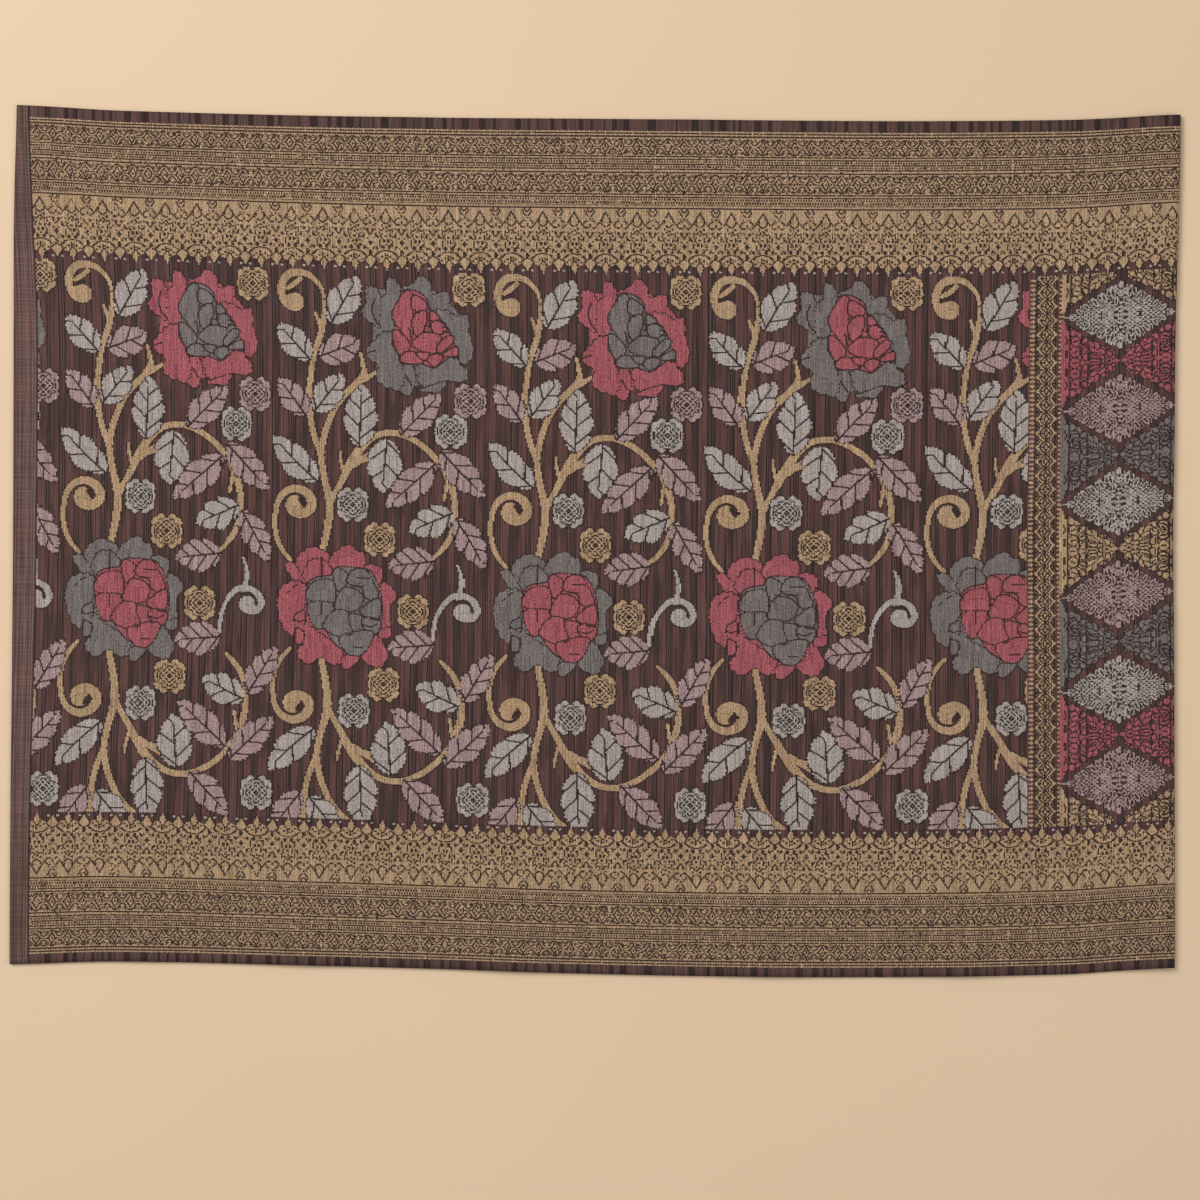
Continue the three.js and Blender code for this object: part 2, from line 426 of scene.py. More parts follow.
def float_tree():
    """Nodes that lay a three-sided bar of yarn along every float, and a flat one underneath."""
    tree = bpy.data.node_groups.new("brocade floats", "GeometryNodeTree")
    for name, kind in (("Places", "Geometry"), ("Width", "Float"), ("Height", "Float"), ("Yarn", "Material")):
        tree.interface.new_socket(name, in_out="INPUT", socket_type="NodeSocket" + kind)
    tree.interface.new_socket("Floats", in_out="OUTPUT", socket_type="NodeSocketGeometry")
    given = Wire(tree).node("NodeGroupInput")
    places, width, height, yarn = (Wire(tree, given.socket.node.outputs[k]) for k in range(4))
    course, face, lies_flat = (
        given.node("GeometryNodeInputNamedAttribute", {"data_type": kind}, {"Name": label})
        for label, kind in (("course", "FLOAT_VECTOR"), ("face", "FLOAT_VECTOR"), ("flat", "BOOLEAN"))
    )
    turned = given.node(
        "FunctionNodeAxesToRotation",
        {"primary_axis": "Z", "secondary_axis": "X"},
        {"Primary Axis": course, "Secondary Axis": face},
    )
    reach = given.node("ShaderNodeVectorMath", {"operation": "LENGTH"}, {0: course}, "Value")
    size = given.node("ShaderNodeCombineXYZ", None, {0: height / 1.5, 1: width / math.sqrt(3), 2: reach})
    bar = given.node("GeometryNodeMeshCylinder", None, {"Vertices": 3, "Radius": 1.0, "Depth": 1.0})
    strip = given.node("GeometryNodeMeshGrid", None, {
        "Size X": 1.0,
        "Size Y": math.sqrt(3),
        "Vertices X": 2,
        "Vertices Y": 2,
    })
    upright = given.node("GeometryNodeTransform", None, {"Geometry": strip, "Rotation": (0, math.pi / 2, 0)})
    stands_up = given.node("FunctionNodeBooleanMath", {"operation": "NOT"}, {0: lies_flat})
    both = given.node("GeometryNodeJoinGeometry")
    for chosen, shape in ((stands_up, bar), (lies_flat, upright)):
        laid = given.node("GeometryNodeInstanceOnPoints", None, {
            "Points": places,
            "Selection": chosen,
            "Instance": shape,
            "Rotation": turned,
            "Scale": size,
        })
        laid.feed(both.socket.node, 0)
    sharp = given.node("GeometryNodeRealizeInstances", None, {"Geometry": both})
    flat_shaded = given.node("GeometryNodeSetShadeSmooth", None, {"Geometry": sharp, "Shade Smooth": False})
    dressed = given.node("GeometryNodeSetMaterial", None, {"Geometry": flat_shaded, "Material": yarn})
    dressed.feed(tree.nodes.new("NodeGroupOutput"), 0)
    return tree


class Draft:
    """Squared paper on which each crossing is marked with the yarn that shows there, and with
    the thin dark lines where the ground's own threads come up between the floats, darkened there as painted
    shade."""

    def __init__(self, columns, rows, left, low, repeats):
        self.marks = np.zeros((columns, rows), int)
        self.dark = np.zeros((columns, rows), bool)
        self.x = left + (np.arange(columns) + 0.5) * COLUMN
        self.y = low + (np.arange(rows) + 0.5) * ROW
        self.length = columns * COLUMN if repeats else 1e6

    def near(self, x, y, reach):
        """The crossings within reach of a point, and how far they lie from it."""
        dx = (self.x - x + self.length / 2) % self.length - self.length / 2
        dy = self.y - y
        across = np.flatnonzero(np.abs(dx) < reach)
        up = np.flatnonzero(np.abs(dy) < reach)
        return np.ix_(across, up), dx[across][:, None], dy[up][None, :]

    def mark(self, spot, where, yarn):
        if yarn != SHADED_GROUND:
            self.marks[spot] = np.where(where, yarn, self.marks[spot])
        self.dark[spot] = np.where(where, yarn == SHADED_GROUND, self.dark[spot])

    def band(self, yarn, low, high):
        within = (self.y > low) & (self.y < high)
        self.mark((slice(None), within), True, yarn)

    def vine(self, yarn, points):
        """A stem through points, each with its half width."""
        points = np.array(points, float)
        ticks = np.arange(len(points))
        run = np.hypot(*np.diff(points[:, :2], axis=0).T).sum()
        fine = np.linspace(0, len(points) - 1, int(run / 0.4) + 2)
        for x, y, half in zip(*(along(ticks, points[:, k], fine) for k in range(3))):
            spot, dx, dy = self.near(x, y, half)
            self.mark(spot, np.hypot(dx, dy) < half, yarn)

    def stems(self, yarn, courses, share=1.0):
        """Stems with one outline of painted shade around them all."""
        for colour, margin in ((SHADED_GROUND, 0.8), (yarn, 0)):
            for points in courses:
                self.vine(colour, [(x, y, half * share + margin) for x, y, half in points])

    def threads(self, yarn, courses, x=0.0, y=0.0, sides=(1,), ways=(1,), half=None):
        """Thin lines, each drawn once for each side and way that it is turned over to."""
        half = half or (LINE if yarn == SHADED_GROUND else THREAD)
        for points in courses:
            for side in sides:
                for way in ways:
                    self.vine(yarn, [(x + side * dx, y + way * dy, half) for dx, dy in points])

    def oval(self, yarn, x, y, wide, high, turn=0, outline=0):
        """A plain oval from its middle, half sizes and turn, or one with an outline of painted shade."""
        c = math.cos(math.radians(turn))
        s = math.sin(math.radians(turn))
        for grown, colour in ((outline, SHADED_GROUND), (0, yarn)) if outline else ((0, yarn),):
            spot, dx, dy = self.near(x, y, max(wide, high) + grown)
            over = (dx * c + dy * s) / (wide + grown)
            up = (dy * c - dx * s) / (high + grown)
            self.mark(spot, over ** 2 + up ** 2 < 1, colour)

    def spots(self, yarn, places, x=0.0, y=0.0, sides=(1,), ways=(1,)):
        """Plain ovals, each drawn once for each side and way that it is turned over to."""
        for dx, dy, *size in places:
            for side in sides:
                for way in ways:
                    self.oval(yarn, x + side * dx, y + way * dy, *size)

    def patch(self, yarn, points, x=0.0, y=0.0, outline=OUTLINE, scallop=0.0):
        """A shape within a smooth closed curve through points, scalloped or plain, with an outline of
        painted shade around it."""
        corners = np.array(points, float)
        middle = corners.mean(axis=0)
        ring = np.concatenate([corners[-2:], corners, corners[:2]]) - middle
        share = np.linspace(1.5, len(corners) + 1.5, 7 * len(corners), endpoint=False)
        ticks = np.arange(len(ring))
        curve = np.stack([along(ticks, ring[:, k], share) for k in (0, 1)], axis=-1)
        curve *= 1 + scallop * (np.abs(np.sin(share * math.pi * 1.5)) - 0.5)[:, None]
        spot, dx, dy = self.near(x + middle[0], y + middle[1], np.abs(curve).max() + 3)
        inside = np.zeros(np.broadcast(dx, dy).shape, bool)
        for (x1, y1), (x2, y2) in zip(curve, np.roll(curve, -1, axis=0)):
            if y1 != y2:
                inside ^= ((y1 > dy) != (y2 > dy)) & (dx < x1 + (dy - y1) * (x2 - x1) / (y2 - y1))
        away = np.hypot(dx[..., None] - curve[:, 0], dy[..., None] - curve[:, 1]).min(axis=-1)
        self.mark(spot, away < outline, SHADED_GROUND)
        self.mark(spot, inside, yarn)

    def leaf(self, yarn, x1, y1, x2, y2, half, veins, curve):
        """A pointed leaf from its foot to its tip, in a rim of painted shade, parted into lobes by a midrib
        and side veins in painted shade.
        """
        length = math.hypot(x2 - x1, y2 - y1)
        spot, dx, dy = self.near((x1 + x2) / 2, (y1 + y2) / 2, length / 2 + half)
        dx = dx + (x2 - x1) / 2
        dy = dy + (y2 - y1) / 2
        forward = (dx * (x2 - x1) + dy * (y2 - y1)) / length
        share = np.clip(forward / length, 0, 1)
        sideways = (dy * (x2 - x1) - dx * (y2 - y1)) / length - curve * np.sin(math.pi * share)
        spacing = length / (veins + 0.55)
        shifted = np.where(sideways > 0, 0.38, 0.05) * spacing
        swept = forward - 0.85 * np.abs(sideways) + shifted
        off_vein = np.abs(swept % spacing - spacing / 2) * 0.76
        notch = 1 - 0.34 * np.exp(-off_vein / 1.5)
        edge = half * np.sin(math.pi * share ** 0.85) ** 0.72 * notch
        edge = edge + np.where(forward % 3.9 > 1.9, 0.6, -0.5)
        inside = (np.abs(sideways) < edge) & (forward > 0) & (forward < length)
        shade_rim = (np.abs(sideways) < edge + OUTLINE) & (forward > -1) & (forward < length + 1)
        vein = (off_vein < 0.72) & (np.abs(sideways) > 0.4)
        rib = (np.abs(sideways) < 0.95 - 0.4 * share) & (share < 0.84)
        self.mark(spot, shade_rim, SHADED_GROUND)
        self.mark(spot, inside, yarn)
        self.mark(spot, inside & (vein | rib), SHADED_GROUND)


def runs(chart, yarn, start, low_edge, step, shortest=2):
    """The floats of one yarn in a chart: (along, from, to) in millimetres on the cloth."""
    filled = np.pad(chart == yarn, ((0, 0), (1, 1))).astype(int)
    change = np.diff(filled, axis=1)
    column, first = np.nonzero(change == 1)
    last = np.nonzero(change == -1)[1]
    distance = start + (column + 0.5) * COLUMN
    floats = np.stack([distance, low_edge + first * step, low_edge + last * step], axis=-1)
    return floats[last - first >= shortest]


def cut_short(floats):
    """Long floats are bound down at intervals, and more often where they pass over a ridge."""
    distance, start, end = floats.T
    middle = (start + end) / 2
    x = distance - FOLDED_LENGTH / 2
    crest = ridge_lift(x, middle + 8) + ridge_lift(x, middle - 8) - 2 * ridge_lift(x, middle)
    longest = np.where(np.abs(crest) > 0.12, LONGEST_ON_RIDGE, LONGEST_FLOAT)
    count = np.ceil(np.abs(end - start) / longest - 0.01).astype(int)
    part = np.arange(count.sum()) - np.repeat(np.cumsum(count) - count, count)
    distance, start, end, count = (np.repeat(values, count) for values in (distance, start, end, count))
    piece = (end - start) / count
    return np.stack([distance, start + part * piece, start + (part + 1) * piece], axis=-1)


def brocade(name, floats, yarn, seed, flat=False):
    """One piece of the cloth's brocade, on both layers, from its floats on the upper one. The
    thin lines of painted shade lie flat over the floats, on the upper layer only."""
    floats = cut_short(floats)
    distance, start, end = floats.T
    rib = np.floor((distance - PATTERN_START) / COLUMN) % 2
    tooth = 0 if flat else 0.4 * rib * (np.abs(end - start) > 2)
    low_end = np.minimum(start, end) + 0.04 - tooth
    high_end = np.maximum(start, end) - 0.04 + tooth
    if not flat:
        rib = np.tile(rib, 2)
        distance = np.concatenate([distance, 2 * FOLD_MIDDLE - distance])
        low_end = np.tile(low_end, 2)
        high_end = np.tile(high_end, 2)
    under = distance > UPPER_LENGTH + TURN_LENGTH
    height = np.where(under, UNDER_FLOAT, LINE_HEIGHT if flat else FLOAT_MIDDLE)
    first = drape(distance, low_end, height)
    second = drape(distance, high_end, height)
    middle = (low_end + high_end) / 2
    along_way = drape(distance + 1, middle, 0) - drape(distance - 1, middle, 0)
    across_way = drape(distance, middle + 1, 0) - drape(distance, middle - 1, 0)
    face = np.cross(along_way, across_way)
    face = face / np.linalg.norm(face, axis=1, keepdims=True)
    places = bpy.data.meshes.new(name)
    places.from_pydata((first + second) / 2 + to_middle, [], [])
    # Each float's tone differs at random, a little lighter in every other column; on the gilt yarn the
    # lightest floats also stand for painted glints.
    tone = np.random.default_rng(seed).normal(0.38 + 0.24 * rib, 0.18).clip(0, 1)
    for label, kind, key, values in (
        ("course", "FLOAT_VECTOR", "vector", (second - first).ravel()),
        ("face", "FLOAT_VECTOR", "vector", face.ravel()),
        ("flat", "BOOLEAN", "value", under | flat),
        ("tone", "FLOAT", "value", tone),
    ):
        places.attributes.new(label, kind, "POINT").data.foreach_set(key, values)
    layer = bpy.data.objects.new(name, places)
    bpy.context.collection.objects.link(layer)
    maker = layer.modifiers.new("floats", "NODES")
    maker.node_group = lay_floats
    width = COLUMN * 0.001 if flat else FLOAT_WIDTH
    for item, value in (("Width", width), ("Height", FLOAT_HEIGHT), ("Yarn", yarn)):
        maker[lay_floats.interface.items_tree[item].identifier] = value
    bpy.context.view_layer.update()
    graph = bpy.context.evaluated_depsgraph_get()
    laid = bpy.data.meshes.new_from_object(layer.evaluated_get(graph), depsgraph=graph)
    layer.modifiers.remove(maker)
    layer.data = laid
    bpy.data.meshes.remove(places)
    laid.name = name
    for label in ("course", "face", "flat"):
        if label in laid.attributes:
            laid.attributes.remove(laid.attributes[label])
    layer.parent = woven_length


def yarn_finish(name, dark, bright, metal, roughness):
    """A twisted yarn, lighter and darker from float to float and along each one; on the gilt yarn its
    brightest flecks are painted glints.
    """
    finish, shader, wire = new_finish(name, roughness, 0.15, metal)
    tone = wire.node("ShaderNodeAttribute", {"attribute_name": "tone"}, output="Fac")
    place = wire.node("ShaderNodeTexCoord", output="Object")
    spread = wire.node("ShaderNodeVectorMath", {"operation": "MULTIPLY"}, {0: place, 1: (810, 560, 0)})
    slubs_and_glints = wire.node("ShaderNodeTexNoise", None, {"Vector": spread, "Scale": 1.0, "Detail": 1.0})
    shade = tone * 0.7 + slubs_and_glints * 1.7 - 0.66
    shade = shade.sum("MAXIMUM", shade, 0.0)
    blend(wire, shade, dark, bright).feed(shader, "Base Color")
    twist = wire.node("ShaderNodeTexWave", {"wave_type": "BANDS", "bands_direction": "DIAGONAL"}, {
        "Vector": place,
        "Scale": 330.0,
        "Distortion": 1.5,
        "Detail": 1.0,
    }, "Fac")
    bump = wire.node("ShaderNodeBump", None, {"Strength": 0.2, "Distance": 0.0002, "Height": twist})
    bump.feed(shader, "Normal")
    (roughness + slubs_and_glints * 0.12).feed(shader, "Roughness")
    return finish


# One repeat of the border, with its depth from the hem's edge. Its arches hang from one axis
# and its crosses stand on the other.
HANGING = 6.5
STANDING = HANGING + BORDER_REPEAT / 2
BOTH = (1, -1)
border = Draft(BORDER_COLUMNS, BORDER_ROWS, 0.0, 0.0, True)
for low, high in (
    (10.1, 11.5), (13.3, 14.6), (16.2, 33.3), (34.1, 48.2), (49.3, 68.5), (69.2, 81.3), (82.8, 130.6),
):
    border.band(GOLD, low, high)
for count in range(6):
    border.threads(GOLD, [[(0, 12.1), (0, 12.8)]], (count + 0.5) * BORDER_REPEAT / 6)
# Dark lines of ground in painted shade between the gold rows.
for level in (12.4, 15.4, 33.7, 36.5, 41.0, 45.6, 48.8, 68.9, 71.4, 79.0, 82.0):
    border.band(SHADED_GROUND, level - 0.5, level + 0.5)
# Rows of short ticks of ground in painted shade, one in every other column.
for level, offset in ((38.8, 0.5), (43.3, 1.5), (73.6, 0.5), (76.8, 1.5)):
    for count in range(BORDER_COLUMNS // 2):
        tick = (2 * count + offset) * COLUMN
        border.threads(SHADED_GROUND, [[(0, -0.5), (0, 0.5)]], tick, level, half=0.62)

# Rows of lozenges, with dark lines and spots of ground in painted shade, by their places from the row's
# middle.
LOZENGE_LINES = [
    [(0, -5.6), (3.5, 0)],
    [(1.4, -7.8), (3.6, -5.4), (5.6, -2.6), (7.4, -2.2)],
    [(4.4, -7.0), (5.8, -5.2)],
]
LOZENGE_SPOTS = [
    (0, 0, 0.9, 1.4), (0, -7.4, 1.3, 1.0), (7.4, 0, 0.9, 0.8), (7.4, -7.2, 0.9, 1.0), (5.0, 0, 0.7, 0.8),
]
for middle, reach in ((24.8, 8.4), (58.9, 9.4)):
    for axis in (HANGING, STANDING):
        ways = (reach / 9, -reach / 9)
        border.threads(SHADED_GROUND, LOZENGE_LINES, axis, middle, BOTH, ways)
        border.spots(SHADED_GROUND, LOZENGE_SPOTS, axis, middle, BOTH, ways)

# The broad band's lobes, and its dark lines and spots of ground in painted shade: first those about
# the axis that its arches hang from.
border.spots(GOLD, [(5.4, 130.6, 3.9, 5.2)], HANGING, 0, BOTH)
HANGING_LINES = [
    [(0, 86), (2.6, 90.2), (5.6, 95.2), (8.2, 98.4), (10.9, 101.2)],
    [(4.3, 96.4), (2.3, 98.4), (0, 99.6)],
    [(3.4, 91.9), (3.8, 95.2)],
    [(1.4, 103.6), (3.6, 106.2), (6.4, 104.4)],
    [(3.7, 109), (4.6, 111), (3.8, 113.2)],
    [(9.6, 108.8), (8.6, 110.8), (6.8, 112.4)],
    [(5.2, 114.8), (6.4, 117), (5.4, 118.8)],
    [(0, 118.6), (0, 119.6)],
    [(10.6, 129.6), (7.4, 126.6), (3.8, 125.3), (0, 125)],
    [(0, 133), (0, 135)],
]
HANGING_SPOTS = [
    (3.6, 101.3, 1.0, 1.3), (0, 111.5, 1.2, 1.2), (1.9, 115.7, 1.1, 2.1), (3.2, 121.9, 1.7, 2.3),
    (8.7, 122.4, 0.9, 1.6), (0.9, 129.4, 0.7, 1.7), (3.8, 130.6, 1.1, 1.4), (6.8, 132.8, 1.0, 0.9),
    (6.2, 107.6, 0.9, 1.4), (0, 106.6, 0.9, 1.3), (5.9, 119.8, 1.0, 1.2), (0, 103.2, 0.8, 0.9),
]
# Those about the axis that its crosses stand on.
STANDING_LINES = [
    [(4.5, 84.6), (3.1, 87.4), (1.4, 89.7)],
    [(2.5, 83.4), (0.6, 86)],
    [(5.6, 96.8), (4.4, 94.8), (2.2, 94.2)],
    [(0, 91.8), (0, 93)],
    [(0, 97.4), (0, 99.4)],
    [(2.4, 106.4), (1.2, 108.6), (0, 110.2)],
    [(8.5, 126.2), (5.8, 128.8), (3.3, 131.2)],
    [(4.2, 120.8), (5.4, 122.6)],
]
STANDING_SPOTS = [
    (2.7, 100.4, 1.0, 0.9), (2.7, 105.5, 1.3, 1.6), (5.8, 111.2, 0.9, 1.7), (0, 117.3, 2.9, 0.9),
    (0, 117.3, 1.9, 2.0), (0, 117.3, 0.8, 3.0), (0, 126.8, 1.6, 3.0), (5.6, 104.6, 0.8, 1.0),
    (2.7, 113.4, 0.8, 1.1), (2.9, 122.8, 0.8, 1.2), (3.2, 92.2, 0.7, 0.9),
]
for axis, courses, places in (
    (HANGING, HANGING_LINES, HANGING_SPOTS), (STANDING, STANDING_LINES, STANDING_SPOTS),
):
    border.threads(SHADED_GROUND, courses, axis, 0, BOTH)
    border.spots(SHADED_GROUND, places, axis, 0, BOTH)
# The kites and drops that hang from its edge, with silver dots beside and below them.
KITE = [(-1.6, 130.4), (-4.9, 133.6), (-2.6, 137.2), (0, 141), (2.6, 137.2), (4.9, 133.6), (1.6, 130.4)]
border.patch(GOLD, KITE, STANDING)
DROP = [(-1.0, 133.4), (-2.8, 137.6), (0, 142.4), (2.8, 137.6), (1.0, 133.4)]
border.patch(GOLD, DROP, HANGING)
border.spots(SILVER, [(0, 142.6, 0.9, 1.2)], HANGING)
border.spots(SILVER, [(4.2, 140.8, 1.2, 1.1)], STANDING, 0, BOTH)

in_border = np.arange(PATTERN_COLUMNS) % BORDER_COLUMNS
border_chart = border.marks[in_border]
# Here and there a line of painted shade fails, or a float slips and the ground shows there in painted shade,
# differently in every repeat.
LINE_FAILS = 0.08
FLOAT_HOLDS = 0.965
slips = np.random.default_rng(5).random((PATTERN_COLUMNS, BORDER_ROWS // 2)).repeat(2, axis=1)
in_rows = ((border.y > 17) & (border.y < 80) & (border_chart[0] != GROUND))[None, :]
border_shade_lines = (border.dark[in_border] & (slips > LINE_FAILS)) | (in_rows & (slips > FLOAT_HOLDS))
# The rows nearer the hem are one piece, and the broad band's lower part with its arches another.
OUTER_ROWS = 123
UPPER_BORDER_EDGE = 401.3
LOWER_BORDER_EDGE = -403.0
LOWER_SHARE = 0.98

lay_floats = float_tree()
gilt_yarn = yarn_finish("dull gilt yarn", GILT_DARK, GILT_BRIGHT, 0.1, 0.5)
silver_yarn = yarn_finish("dull silver yarn", SILVER_DARK, SILVER_BRIGHT, 0.05, 0.5)
# The lines' finish: the ground's threads, darkened as painted shade.
shaded_ground_threads = yarn_finish("ground threads in painted shade", SHADE_LINE_BLACK, SHADE_LINE_BROWN, 0.0, 0.8)
for place, edge, step, seed in (
    ("upper", UPPER_BORDER_EDGE, -ROW, 11), ("lower", LOWER_BORDER_EDGE, ROW * LOWER_SHARE, 13),
):
    outer = runs(border_chart[:, :OUTER_ROWS], GOLD, PATTERN_START, edge, step)
    brocade(f"{place}_border_rows", outer, gilt_yarn, seed)
    inner = runs(border_chart[:, OUTER_ROWS:], GOLD, PATTERN_START, edge + OUTER_ROWS * step, step)
    brocade(f"{place}_border_arches", inner, gilt_yarn, seed + 1)
    dots = runs(border_chart, SILVER, PATTERN_START, edge, step)
    brocade(f"{place}_border_dots", dots, silver_yarn, seed + 3)
    lines = runs(border_shade_lines, True, PATTERN_START, edge, step, 1)
    brocade(f"{place}_border_shade_lines", lines, shaded_ground_threads, seed + 2, True)

# The field of vines. Gold stems with curling shoots, silver and pink leaves, rosettes and big
# roses of red and grey, all brocaded as the borders are. One repeat is drawn on squared paper.
# Its lower half mirrors the upper one, and red and grey change places from repeat to repeat.
REPEAT_COLUMNS = 165
REPEAT_START = 15
FIELD_COLUMNS = 762
MIRROR_LINE = -61.0
FIELD_LOW = -200.9
FIELD_EDGE = MIRROR_LINE + FIELD_LOW
FIELD_ROWS = 798
STEM_SHARE = 1.1
PINK_DARK = from_screen(112, 88, 88)
PINK_BRIGHT = from_screen(192, 165, 163)
RED_DARK = from_screen(112, 52, 61)
RED_BRIGHT = from_screen(188, 108, 115)
GREY_DARK = from_screen(76, 70, 68)
GREY_BRIGHT = from_screen(142, 132, 129)

vines = Draft(REPEAT_COLUMNS, FIELD_ROWS, 0.0, FIELD_LOW, True)


def turned_over(x, y):
    """The lower half's place for one in the upper half: a little wider and shorter."""
    return x + 7.5 * smooth((x - 50) / 60), -0.985 * y


def with_lower(courses):
    """Stems of the upper half, and then the same ones in the lower half."""
    return courses + [[(*turned_over(x, y), half) for x, y, half in points] for points in courses]


SHOOTS = [
    # The curled shoot beside the mid rose.
    [(22, 42, 1.6), (13.7, 51.7, 2.1), (7.7, 65.4, 2.2), (6.6, 80, 2.2), (8.2, 94.5, 2.4), (14.8, 105.6, 3.0),
     (26.5, 110.2, 3.4), (37.4, 105.4, 4.0), (41.4, 96.2, 4.2), (37.6, 89, 4.2), (30, 86.6, 4.2),
     (24, 91, 6.0), (25, 95.5, 7.6)],
    # The main stem, which becomes the left stem.
    [(50, 40, 2.6), (53, 57.5, 2.8), (56.4, 74.6, 3.2), (58.1, 93.4, 3.5), (56.4, 107, 3.3), (53.5, 118, 3.0),
     (50.8, 131.6, 2.8), (48.7, 145.3, 2.7), (44.6, 155.5, 2.6), (41.5, 165.8, 2.6), (39, 179.4, 2.6),
     (37.6, 199.9, 2.6), (39.3, 217, 2.5), (41.5, 234.1, 2.5), (45, 246.1, 2.6), (48.7, 256.3, 2.7),
     (50.8, 266.6, 2.7), (52.3, 276.8, 2.0), (52.6, 285.3, 1.8), (52.4, 292, 1.7)],
    # The second stem and its fork.
    [(49.6, 145, 2.6), (52.1, 160.7, 2.8), (56.4, 174.3, 2.8), (62.4, 188, 2.7), (70.9, 199.9, 2.8),
     (79.5, 208.5, 3.0), (86, 214.5, 3.4), (89.6, 223.5, 2.4), (86.6, 240, 1.3)],
    [(88, 215.5, 3.0), (94, 218.2, 2.4), (101, 222.6, 1.4)],
    # The great loop.
    [(57.6, 92, 2.2), (60.8, 102, 2.4), (66, 112.5, 2.6), (71.5, 123.5, 3.0), (76.6, 134.5, 3.8),
     (83.4, 145.6, 3.9), (91.8, 155.8, 3.2), (100.8, 162.6, 2.8), (112, 166, 2.7), (124, 165.4, 2.7),
     (136.6, 160.4, 2.6), (148, 152.8, 2.6), (158.6, 142.6, 2.7), (167.4, 130.6, 2.9), (173.6, 116.6, 3.0),
     (177.0, 100.4, 2.7), (177.0, 86.8, 2.6), (174.8, 74.4, 2.6), (170.2, 64, 2.5), (163.6, 55.6, 2.2),
     (157, 49, 1.5)],
    # Thorns along the loop.
    [(72, 124, 1.8), (69, 135, 1.5), (67.2, 147, 1.15)],
    [(80, 134.6, 3.2), (87, 139.4, 2.6), (92, 143.4, 1.9), (96.4, 147.6, 1.2)],
    [(88, 139, 2.4), (93, 140, 1.8), (97, 139.6, 1.3)],
    [(170.4, 124, 1.8), (168, 113, 1.6), (166.8, 104, 1.2)],
]
vines.stems(GOLD, with_lower(SHOOTS), STEM_SHARE)
# Gaps of ground in painted shade inside the curled shoots.
SHOOT_GAP = [(33.2, 94, 1.3), (29.4, 100.6, 1.5), (36.2, 96.2, 1.3)]
for points in with_lower([SHOOT_GAP]):
    vines.vine(SHADED_GROUND, points)
# The hook at the top of the main stem.
HOOK = [
    (52.4, 292, 1.7), (50.4, 300.3, 1.9), (45.5, 306.9, 2.2), (39.5, 312.2, 2.8), (33, 314.4, 3.2),
    (25, 314.6, 3.6), (18.4, 311.6, 3.8), (13.8, 305, 3.8), (12.6, 297, 3.8), (14.6, 289.6, 4.2),
    (20, 286.4, 7.0), (25, 286.6, 8.8),
]
HOOK_BRANCH = [(18.4, 299.4, 2.0), (24, 303, 2.4), (30.4, 308.6, 2.4)]
vines.stems(GOLD, [HOOK, HOOK_BRANCH])
# A gap of ground in painted shade inside the hook.
vines.vine(SHADED_GROUND, [(16.6, 294.6, 1.2), (21.4, 297.6, 1.2), (27, 298.2, 1.2)])
vines.vine(GOLD, [(49.4, 263, 1.8), (46.6, 270, 1.6), (44.4, 276.4, 1.2)])
# The silver curl on the mirror line.
SILVER_CURL = [
    (157, -28.4, 1.7), (158.4, -14, 2.0), (161.6, -3.6, 2.1), (168.8, 7.4, 2.4), (177, 13.6, 2.8),
    (186, 13.2, 3.2), (194.4, 8.4, 3.4), (197.6, 0.4, 3.2), (194, -6.4, 3.0), (187, -4.6, 5.6),
    (184.6, -1.6, 8.2),
]
SILVER_BRANCH = [(181, 12, 2.6), (183.4, 22, 2.2), (183.6, 32, 1.8), (180.4, 42.6, 1.2)]
vines.stems(SILVER, [SILVER_CURL, SILVER_BRANCH])
# And one inside the silver curl.
vines.vine(SHADED_GROUND, [(178.4, 8.8, 1.0), (187, 9.2, 1.25), (192.4, 3.2, 1.3), (192.2, -0.6, 1.1)])

# Each leaf: its yarn, foot, tip, half width, veins, curve, and whether the lower half has it too.
LEAVES = [
    (SILVER, 46, 118, 4, 159, 14, 2, 1.5, True), (SILVER, 85.5, 152, 88, 211, 16.5, 3, 0, True),
    (SILVER, 112, 160, 107.5, 109, 17, 2, 0, True), (PINK, 158, 138, 112, 96, 14.5, 3, 0, True),
    (PINK, 163.2, 150, 203.5, 108, 14, 3, 0, True), (PINK, 125, 164.5, 162.4, 204, 14, 3, 0, True),
    (SILVER, 174.6, 92, 133.6, 73.4, 15, 2, 0, True), (PINK, 157.6, 46, 114.6, 40, 16.5, 3, 0, False),
    (PINK, 157.6, -33, 114.6, -37.5, 16.5, 3, 0, False), (PINK, 178.6, 87, 205, 40.5, 13, 3, 0, True),
    (SILVER, 58.6, 267.5, 85.4, 313, 15.5, 2, 0, False), (SILVER, 38.5, 232.6, 8.6, 265.5, 13.5, 2, 0, False),
    (PINK, 47.5, 236, 86.8, 251.4, 15, 2, 0, False), (PINK, 34.6, 180, 9, 214, 13, 2, 0, True),
    (SILVER, 43, 184, 70.4, 220, 13.5, 2, 0, True),
]
for yarn, x1, y1, x2, y2, half, veins, curve, below in LEAVES:
    vines.leaf(yarn, x1, y1, x2, y2, half, veins, curve)
    if below:
        vines.leaf(yarn, *turned_over(x1, y1), *turned_over(x2, y2), half, veins, -curve)

# A rosette has a scalloped rim round a slanting lattice with gaps of ground in painted shade; the rim
# is drawn for one quarter.
RIM = [
    (0, 12.3), (3.4, 15.6), (6.8, 16.2), (9.6, 13.0), (12.6, 12.2), (14.4, 8.0), (13.6, 4.4), (15.2, 1.6),
    (14.6, 0),
]


